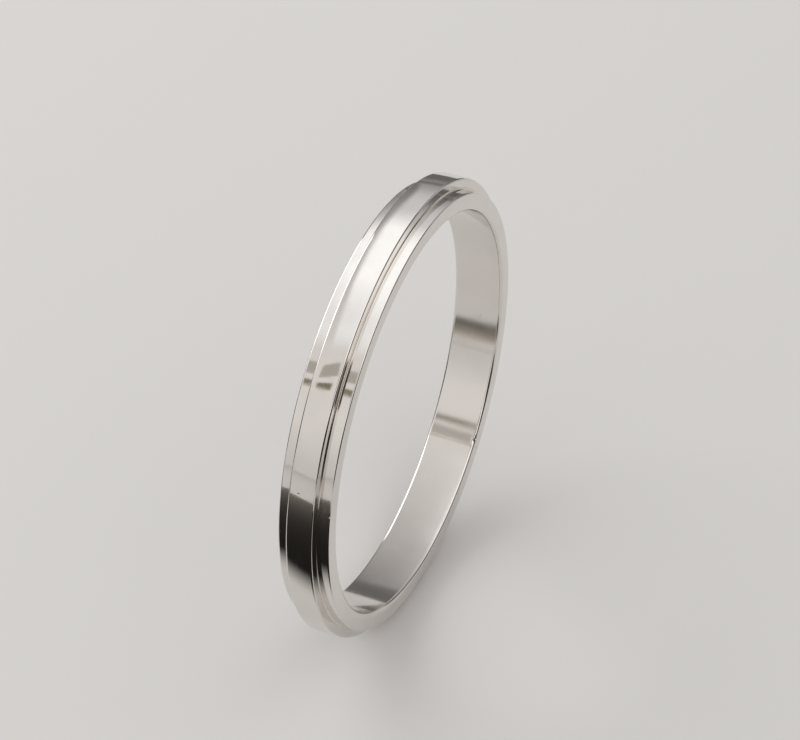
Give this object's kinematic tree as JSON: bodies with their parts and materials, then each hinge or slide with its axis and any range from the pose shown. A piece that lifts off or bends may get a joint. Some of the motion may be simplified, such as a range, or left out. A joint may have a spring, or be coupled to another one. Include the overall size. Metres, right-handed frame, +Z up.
{
  "type": "wedding band",
  "caption": "Slim polished white metal wedding band, stepped: a flat raised centre band soldered round a wider lower band whose margins form narrow rails.",
  "frame": {"origin": "centre of the finger hole, halfway across the band's width", "axes": "+Y along the finger hole's axis, +Z up with the band standing on its rim, +X level across the hole"},
  "size_m": [0.0188, 0.002, 0.0188],
  "materials": {
    "white_gold": "high polish, warm white",
    "white_gold_solder": "polished, slightly greyer and warmer than the bands"
  },
  "bodies": {
    "root": {"base_band": "white_gold", "centre_band": "white_gold", "sweat_solder": "white_gold_solder", "base_seam_solder": "white_gold_solder", "centre_seam_solder": "white_gold_solder"}
  },
  "joints": []
}
